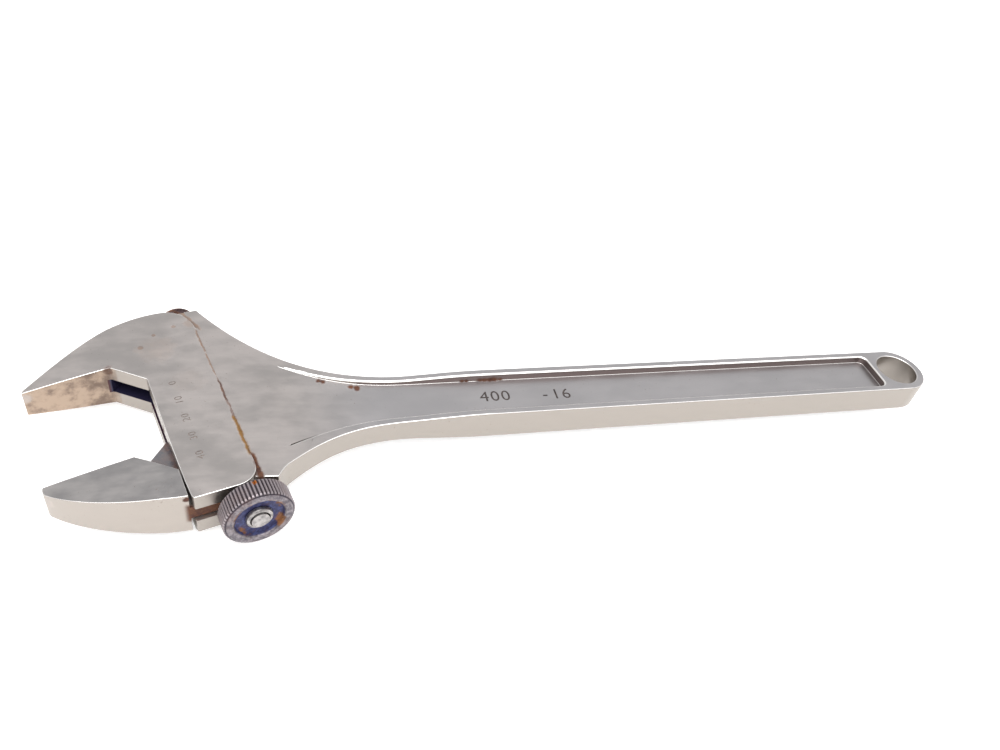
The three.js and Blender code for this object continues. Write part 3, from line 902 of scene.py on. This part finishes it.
@dataclass
class Forging:
    """Handle, neck, guide housing and fixed jaw, which are one piece of steel."""

    head: HeadShape
    figures: Figures
    width: float = 26.8
    thickness: float = 13.4
    neck_thickness: float = 10.0
    hole_radius: float = 9.8
    rim: float = 3.4
    panel_depth: float = 3.5
    panel_end_gap: float = 2.8
    panel_start: float = -296.0
    shoulder: Point = (-295.0, -37.2)
    flare: float = -243.0
    housing_width: float = 24.5
    housing_bottom: float = 49.2
    housing_top: float = 52.8
    neck_peak: float = 51.2
    corner: float = 8.0
    slot: float = 6.5
    bore_radius: float = 6.5
    plug_bore_radius: float = 7.7
    plug_seat: float = 44.65

    def panel_floor(self) -> float:
        """Return the height of the sunk panel's floor."""
        return self.thickness / 2 - self.panel_depth

    def handle_plan(self) -> list[Point]:
        """Return the outline of the handle and the neck, in the handle frame."""
        half = self.width / 2
        start, low = self.flare, self.shoulder
        peak = DATUM.on_handle(self.housing_width + 3.5, self.neck_peak)
        plan = Outline(start, half).bend((start - 33, half), (start - 61, peak[1] - 28), peak, steps=24)
        plan.line(DATUM.on_handle(15, self.neck_peak - 1), DATUM.on_handle(12, 0),
                  DATUM.on_handle(14, -40))
        plan.line((low[0] - 10, low[1]), low)
        plan.bend((low[0] + 1, low[1] + 2), (low[0] + 2, low[1] + 4), (low[0] + 3.5, low[1] + 5.5), steps=4)
        plan.bend((low[0] + 19, -half - 5.3), (low[0] + 31, -half), (low[0] + 55, -half), steps=18)
        return plan.arc((0, 0), half, -90, 90, steps=36).points

    def handle_side(self) -> list[Point]:
        """Return the side view of the handle and the neck: it is thinnest in the neck."""
        rib, neck, head = self.thickness / 2, self.neck_thickness / 2, self.head.thickness / 2
        far = -DATUM.head_distance
        top = Outline(far - 30, head - 0.2).line((far + 8, head - 0.6))
        top.bend((far + 26, head - 1.6), (far + 40, neck + 0.3), (far + 70, neck), steps=18)
        top.line((far + 88, neck))
        top.bend((far + 102, neck), (far + 112, rib), (far + 130, rib), steps=14)
        top.line((self.width, rib))
        return top.points + [(x, -z) for x, z in reversed(top.points)]

    def panel_plan(self) -> list[Point]:
        """Return the outline of the sunk panel, which opens out over the neck."""
        half = self.width / 2 - self.rim
        end = -self.hole_radius - self.panel_end_gap
        start = self.panel_start
        plan = Outline(start, -half - 15)
        plan.bend((start + 20, -half - 3.5), (start + 34, -half), (start + 56, -half), steps=16)
        plan.line((end - 3, -half)).arc((end - 3, -half + 3), 3, -90, 0, steps=6)
        plan.arc((end - 3, half - 3), 3, 0, 90, steps=6).line((start + 56, half))
        return plan.bend((start + 34, half), (start + 20, half + 3.5), (start, half + 13.2), steps=16).points

    def panel_cutter(self, side: int) -> bpy.types.Object:
        """Return the solid that sinks one face's panel.

        Args:
            side: 1 for the upper face, -1 for the lower face.

        Returns:
            The cutter, whose floor climbs out to the neck's surface.
        """
        neck, floor, start = self.neck_thickness / 2, self.panel_floor(), self.panel_start
        cutter = prism("panel", self.panel_plan(), floor, 20)
        view = Outline(start - 1, neck + 1.3).bend((start + 7, neck + 0.5), (start + 20, floor),
                                                   (start + 44, floor), steps=18)
        view.line((0, floor), (0, 30), (start - 1, 30))
        combine(cutter, side_prism("floor", view.points, 60), Cut.KEEP)
        round_edges(cutter, 1.3, sharper=50, segments=3)
        if side < 0:
            cutter.data.transform(Matrix.Scale(-1, 4, (0, 0, 1)))
            tidy_mesh(cutter)
        return cutter

    def head_plan(self) -> list[Point]:
        """Return the outline of the housing and the fixed jaw, in the head frame."""
        face, tip = self.head.fixed_face, -self.head.jaw_length
        plan = Outline(1.2, -self.housing_bottom)
        plan.arc((self.housing_width - self.corner, self.corner - self.housing_bottom), self.corner, -90, 0,
                 steps=14)
        plan.line((self.housing_width, self.housing_top - 16))
        plan.bend((self.housing_width, self.housing_top - 7), (self.housing_width - 4, self.housing_top),
                  (self.housing_width - 12, self.housing_top), steps=12)
        plan.bend((-7, self.housing_top + 0.6), (-24.5, face + 14.4), (tip + 1, face + 1.8), steps=22)
        plan.bend((tip + 0.3, face + 1.3), (tip + 0.15, face + 0.7), (tip + 0.4, face), steps=4)
        plan.line((-self.head.throat_depth, face), (0, face - self.head.throat_rise))
        return plan.bend((0, -self.housing_bottom + 1.2), (0.3, -self.housing_bottom + 0.3),
                         (1.2, -self.housing_bottom), steps=4).points

    def slot_plan(self) -> list[Point]:
        """Return the outline of the slot that the movable jaw's tongue slides in."""
        depth, offset = self.head.throat_depth, self.head.spindle_offset
        return [(-depth - 1.6, self.head.fixed_face - 1.1), (0, 35.3), (offset, 35.3), (offset, -90),
                (-depth - 1.6, -90)]

    def build(self) -> bpy.types.Object:
        """Model the forging.

        Returns:
            The piece that stands for the CAD body.
        """
        handle = prism("forging", self.handle_plan(), -BLANK, BLANK)
        combine(handle, side_prism("side", self.handle_side(), WIDE), Cut.KEEP)
        combine(handle, turned("hole", [(0, -30), (self.hole_radius, -30), (self.hole_radius, 30), (0, 30)]),
                Cut.REMOVE)
        round_edges(handle, 1.9)
        for side in (1, -1):
            combine(handle, self.panel_cutter(side), Cut.REMOVE)
        round_edges(handle, 1.1, sharper=50, clamp=False)
        self.figures.engrave(handle, SIZE, self.panel_floor())
        handle.data.transform(DATUM.head().inverted() @ DATUM.handle())
        head = prism("head", self.head_plan(), -BLANK, BLANK)
        combine(head, self.head.taper(), Cut.KEEP)
        round_edges(head, 0.6)
        self.figures.engrave(head, SCALE, self.head.thickness / 2)
        combine(head, handle, Cut.JOIN)
        half_slot = self.slot / 2
        combine(head, prism("slot", self.slot_plan(), -half_slot, half_slot), Cut.REMOVE)
        bore = turned("bore", [(0, -90), (self.bore_radius, -90), (self.bore_radius, self.plug_seat),
                               (self.plug_bore_radius, self.plug_seat), (self.plug_bore_radius, 90), (0, 90)])
        combine(head, along_slide(bore, self.head.spindle_offset), Cut.REMOVE)
        head.name = "forging"
        finish_piece(head, DATUM.head(), "wrench_body", ["body"])
        return head

    def build_dirt(self) -> list[bpy.types.Object]:
        """Return the dirt in the scale's figures and in the size's figures."""
        scale = self.figures.dirt("scale_figures", SCALE, self.head.thickness / 2)
        finish_piece(scale, DATUM.head(), "wrench_body", [])
        size = self.figures.dirt("size_figures", SIZE, self.panel_floor())
        finish_piece(size, DATUM.handle(), "wrench_body", [])
        return [scale, size]


@dataclass
class SlidingJaw:
    """Movable jaw with its tongue and its round slider."""

    head: HeadShape
    heel: float = 47.6
    tip_height: float = 3.6
    tongue: float = 5.9
    tongue_top: float = 14.0
    tongue_root: float = 26.5
    slider_radius: float = 6.2
    slider_low: float = -45.1
    slider_high: float = -9.1
    bore_radius: float = 4.95

    def plan(self) -> list[Point]:
        """Return the jaw's outline at rest, in the head frame."""
        face, tip = self.head.movable_face, -self.head.jaw_length
        gap = self.head.slide_gap
        shape = Outline(tip + 0.4, face)
        shape.bend((tip, face - 1.2), (tip, face - 2.4), (tip + 0.6, face - self.tip_height), steps=5)
        shape.bend((tip + 8.6, face - 12.6), (-18, 3.4 - self.heel), (-gap, -self.heel), steps=22)
        return shape.line((-gap, face - self.head.throat_rise - gap),
                          (-self.head.throat_depth - 1.2, face)).points

    def tongue_plan(self) -> list[Point]:
        """Return the tongue's outline, from the throat to the slider."""
        inner = self.head.spindle_offset - 5.3
        stop = self.head.spindle_offset - 7.7
        return [(-12.4, -self.tongue_root), (-12.4, -self.tongue_root - 6), (-4, 1.5 - self.heel),
                (-1, -self.heel), (stop, -self.heel), (stop, self.slider_low), (inner, self.slider_low),
                (inner, -self.tongue_top), (0, -self.tongue_top)]

    def build(self) -> bpy.types.Object:
        """Model the jaw and return the piece that stands for the CAD jaw."""
        jaw = prism("sliding_jaw", self.plan(), -BLANK, BLANK)
        combine(jaw, self.head.taper(), Cut.KEEP)
        round_edges(jaw, 0.7)
        tongue = prism("tongue", self.tongue_plan(), -self.tongue / 2, self.tongue / 2)
        round_edges(tongue, 0.35, segments=2)
        combine(jaw, tongue, Cut.JOIN)
        radius, low, high = self.slider_radius, self.slider_low, self.slider_high
        slider = turned("slider", [(0, low), (radius, low), (radius, high), (0, high)], 64)
        combine(jaw, along_slide(slider, self.head.spindle_offset), Cut.JOIN)
        bore = turned("bore", [(0, low - 2), (self.bore_radius, low - 2), (self.bore_radius, high + 2),
                               (0, high + 2)], 64)
        combine(jaw, along_slide(bore, self.head.spindle_offset), Cut.REMOVE)
        finish_piece(jaw, DATUM.head(), "jaw", ["movable_jaw"])
        return jaw


@dataclass
class ThumbWheel:
    """Straight-knurled wheel with a dished front, and the riveted collar in the dish."""

    head: HeadShape
    radius: float = 12.88
    back: float = -51.0
    thickness: float = 8.2
    teeth: int = 60
    tooth_depth: float = 0.6
    dish_radius: float = 9.0
    dish_depth: float = 2.0
    bore_radius: float = 3.5
    collar_radius: float = 4.9
    collar_thickness: float = 1.7

    def toothed_plan(self) -> list[Point]:
        """Return the outline of the knurl."""
        points = []
        for tooth in range(self.teeth):
            for turn, depth in ((0.05, 1), (0.25, 1), (0.42, 0.15), (0.52, 0), (0.78, 0), (0.88, 0.15)):
                angle = 2 * math.pi * (tooth + turn) / self.teeth
                radius = self.radius - depth * self.tooth_depth
                points.append((radius * math.cos(angle), radius * math.sin(angle)))
        return points

    def build_wheel(self) -> bpy.types.Object:
        """Model the knurled wheel."""
        front = self.back - self.thickness
        wheel = prism("knurled_wheel", self.toothed_plan(), front, self.back)
        outer, dish = self.radius + 0.05, self.dish_radius
        envelope = [(0, front), (outer - 1.5, front), (outer - 1.1, front + 0.12),
                    (outer - 0.35, front + 0.55), (outer, front + 1.2), (outer, self.back - 1.0),
                    (outer - 0.8, self.back - 0.2),
                    (outer - 1.4, self.back), (0, self.back)]
        combine(wheel, turned("envelope", envelope, 120), Cut.KEEP)
        floor = front + self.dish_depth
        hollow = [(0, front - 1), (dish + 0.5, front - 1), (dish + 0.5, front - 0.01),
                  (dish + 0.3, front + 0.15), (dish, front + 0.45), (dish - 0.4, floor - 0.3),
                  (dish - 0.9, floor), (0, floor)]
        combine(wheel, turned("hollow", hollow, 96), Cut.REMOVE)
        bore = self.bore_radius
        combine(wheel, turned("bore", [(0, front - 2), (bore, front - 2), (bore, self.back + 2),
                                       (0, self.back + 2)], 64), Cut.REMOVE)
        along_slide(wheel, self.head.spindle_offset)
        finish_piece(wheel, DATUM.head(), "screw", ["thumb_wheel"])
        return wheel

    def build_collar(self) -> bpy.types.Object:
        """Model the collar that is riveted in the dish."""
        back = self.back - self.thickness + self.dish_depth - 0.3
        front, radius, bore = back - self.collar_thickness, self.collar_radius, self.bore_radius
        profile = [(bore, back), (radius, back), (radius, front + 0.9), (radius - 0.25, front + 0.4),
                   (radius - 0.8, front + 0.08), (radius - 1.2, front), (bore + 0.25, front),
                   (bore, front + 0.25), (bore, back)]
        collar = along_slide(turned("riveted_collar", profile, 72), self.head.spindle_offset)
        finish_piece(collar, DATUM.head(), "screw", ["hub_collar"])
        return collar


@dataclass
class EndPlug:
    """Rusty dome that closes the bore behind the fixed jaw."""

    head: HeadShape
    radius: float = 7.4
    seat: float = 44.95
    rim: float = 55.8
    dome: float = 2.65
    socket_radius: float = 3.5
    socket_top: float = 50.65

    def build(self) -> bpy.types.Object:
        """Model the plug."""
        radius, rim = self.radius, self.rim
        profile = [(self.socket_radius, self.seat), (radius - 0.3, self.seat), (radius, self.seat + 0.3),
                   (radius, rim - 0.3)]
        for step in range(11):
            angle = math.radians(90 * step / 10)
            profile.append((radius * math.cos(angle) ** 0.8, rim + self.dome * math.sin(angle)))
        profile[-1] = (0, rim + self.dome)
        profile += [(0, self.socket_top), (self.socket_radius, self.socket_top),
                    (self.socket_radius, self.seat)]
        plug = along_slide(turned("bore_plug", profile, 64), self.head.spindle_offset)
        finish_piece(plug, DATUM.head(), "wrench_body", ["end_plug"])
        return plug


# ---- stage ---------------------------------------------------------------------------------------
@dataclass
class Stage:
    """Pale floor, soft studio light and the camera."""

    eye: tuple[float, float, float] = (-298.71, -236.41, 239.63)
    gaze: tuple[float, float, float] = (0.27751, 0.69742, -0.66075)
    level: tuple[float, float, float] = (0.95964, -0.23393, 0.15613)
    lens: float = 29.42

    def camera(self) -> None:
        """Place the camera, which looks down along the handle from the jaws' side."""
        data = bpy.data.cameras.new("camera")
        data.lens = self.lens
        data.sensor_width = 36
        data.clip_start = 0.01
        camera = bpy.data.objects.new("camera", data)
        bpy.context.collection.objects.link(camera)
        back = -Vector(self.gaze).normalized()
        right = Vector(self.level)
        right = (right - back * right.dot(back)).normalized()
        up = back.cross(right)
        place = Matrix((right, up, back)).transposed().to_4x4()
        place.translation = DATUM.handle() @ Vector(self.eye)
        camera.matrix_world = place
        bpy.context.scene.camera = camera

    def floor(self) -> None:
        """Lay the pale floor."""
        bpy.ops.object.select_all(action="DESELECT")
        bpy.ops.mesh.primitive_plane_add(size=12, location=(0, 0, 0))
        floor = bpy.context.object
        floor.name = "floor"
        floor.data.materials.append(floor_finish())

    def light(self, name: str, spot: Point, height: float, size: float, power: float,
              colour: tuple[float, float, float]) -> None:
        """Hang one soft light that faces the wrench.

        Args:
            name: Name of the light.
            spot: Where it hangs, over the floor, in metres.
            height: How high it hangs.
            size: Side of its square.
            power: Its power in watts.
            colour: Its colour.
        """
        data = bpy.data.lights.new(name, "AREA")
        data.size = size
        data.energy = power
        data.color = colour
        lamp = bpy.data.objects.new(name, data)
        lamp.location = (spot[0], spot[1], height)
        lamp.rotation_euler = (-Vector(lamp.location)).to_track_quat("-Z", "Y").to_euler()
        bpy.context.collection.objects.link(lamp)

    def build(self) -> None:
        """Set the whole stage."""
        self.camera()
        self.floor()
        world = bpy.data.worlds.new("studio")
        bpy.context.scene.world = world
        world.use_nodes = True
        tree = Tree(world.node_tree)
        normal = tree.put("TexCoord").outputs["Generated"]
        parts = tree.put("SeparateXYZ", {}, Vector=normal).outputs
        lean = tree.math("SUBTRACT", parts[2], tree.math("MULTIPLY", parts[1], 0.5))
        sky = tree.mix(tree.ramp(lean, 0.72, 0.9), (0.76, 0.745, 0.74, 1), (2.3, 2.28, 2.26, 1))
        backdrop = world.node_tree.nodes["Background"]
        tree.feed(backdrop.inputs["Color"], sky)
        backdrop.inputs["Strength"].default_value = 1.0
        self.light("key", (-0.1, -0.25), 0.95, 0.5, 2, (1, 1, 1))
        bpy.context.scene.view_settings.view_transform = "Standard"


def floor_finish() -> bpy.types.Material:
    """Return the floor's pale paper."""
    material = bpy.data.materials.new("paper")
    material.use_nodes = True
    shader = material.node_tree.nodes["Principled BSDF"]
    shader.inputs["Base Color"].default_value = (0.92, 0.92, 0.915, 1)
    shader.inputs["Roughness"].default_value = 0.9
    shader.inputs["Emission Color"].default_value = (1, 1, 1, 1)
    shader.inputs["Emission Strength"].default_value = 0.4
    return material


OCHRE = (0.24, 0.13, 0.03, 1)
GREY_BROWN = (0.20, 0.15, 0.12, 1)
WORN_WHITE = (0.75, 0.72, 0.70, 1)
ROUGH_GREY = (0.10, 0.12, 0.15, 1)


def forging_finish(head: HeadShape) -> Plating:
    """Return the forging's plating, with the dirty seam, painted shade and rust in the slot, and the stained
    jaw.
    """
    seam = (Band((0.93, 0.36, 0), 38.2, 1.2, 1.8, (19, 38.5, 6), (25.6, 52, 12), GREY_BROWN, 0.85),
            Band((1, 0, 0), 24.3, 0.6, 1.3, (21, -6, 6), (32, 37, 12), GREY_BROWN, 0.9),
            Band((1, 0, 0), 24.4, 0.9, 1.4, (22, -16, 6), (32, 4, 12), strength=0.8),
            Band((1, 0, 0), 24.4, 1.3, 1.6, (22, -36, 4), (32, -17, 12), OCHRE),
            Band((1, 0, 0), 25.2, 1.5, 1.4, (22, -46, 2), (32, -35, 12)))
    grey = ((23.0, 42.0, 9.0, 3.2, 0.5), (7, 30, 9.5, 9.0, 0.3), (14, 8, 9.5, 8.0, 0.16),
            (8, 39, 9.5, 1.0, 0.8), (1.6, 33, 9.5, 1.3, 0.7), (16.5, 42, 9.5, 1.1, 0.7))
    rusty = ((24.5, -44.0, 4.0, 3.4), (-0.2, -9.5, 5.0, 1.8), (118.8, -22.9, 3.4, 1.5),
             (120.9, -23.5, 3.4, 1.6), (126.6, -24.9, 3.4, 2.0), (128.7, -25.6, 3.4, 2.2),
             (130.9, -26.2, 3.4, 2.2), (133.1, -26.8, 3.4, 2.3), (135.3, -27.3, 3.4, 1.9),
             (62.4, -3.6, 5.0, 1.8), (63.7, -4.8, 5.0, 2.0), (73.5, -10.9, 4.2, 1.9),
             (75.4, -12.1, 4.2, 2.2))
    patches = [Spot((x, y, z), radius, GREY_BROWN, strength) for x, y, z, radius, strength in grey]
    patches += [Spot((-11.8, 25.4, 8.0), 2.2, strength=0.7), Spot((-41.5, 25.6, 3.0), 3.0, WORN_WHITE, 0.6)]
    patches += [Spot((x, y, z), radius) for x, y, z, radius in rusty]
    return Plating(name="plated forging", bands=seam, slot=True, stained_face=head.fixed_face,
                   spots=tuple(patches))


def jaw_finish() -> Plating:
    """Return the movable jaw's plating, with rust on the tongue and a rough throat."""
    tongue = Band((0, 1, 0), -48.0, 2.6, 1.0, (-0.6, -50, -3.4), (16, -45, 3.4))
    root = Band((1, 0, 0), 0.0, 1.8, 3.0, (-3, -30, -3.2), (2, -12, 3.2))
    patches = (Spot((-1.0, -47.0, 7.6), 1.5), Spot((-3.0, -21.0, 3.0), 9.0, ROUGH_GREY, 0.75),
               Spot((-41.8, -27.0, 2.0), 3.2, WORN_WHITE, 0.5))
    # side is a painted shade: the jaw's sideways faces get this darker, warmer copy of its plating
    return Plating(name="plated jaw", dark=(0.31, 0.305, 0.31, 1), light=(0.45, 0.435, 0.43, 1),
                   side=(0.38, 0.34, 0.305, 1), bands=(tongue, root), spots=patches)


def main() -> None:
    """Build the wrench's pieces in order and dress them."""
    for build_effect in (build_clouds, build_specks, build_rust, build_band, build_spot, build_worn_and_glint_edges):
        build_effect()
    Stage().build()
    head = HeadShape()
    forging = Forging(head, Figures())
    dress(forging.build(), forging_finish(head).make())
    dress(SlidingJaw(head).build(), jaw_finish().make())
    wheel = ThumbWheel(head)
    dress(wheel.build_wheel(), WheelBlack().make())
    bare = BareSteel().make()
    dress(wheel.build_collar(), bare)
    rusty = BareSteel(name="rusty iron", dark=(0.035, 0.018, 0.018, 1), light=(0.13, 0.085, 0.09, 1),
                      rusty=0.7, roughness=0.5)
    dress(EndPlug(head).build(), rusty.make())
    for node in ("spindle", "thrust_washer", "lower_bush", "friction_spring"):
        dress_cad(node, bare)
    scale, size = forging.build_dirt()
    dress(scale, Engraving(name="faded scale", dark=(0.15, 0.115, 0.105, 1), light=(0.27, 0.225, 0.20, 1),
                           wear=0.8).make())
    dress(size, Engraving(name="dark size figures", wear=-1.0).make())


if __name__ == "__main__":
    main()
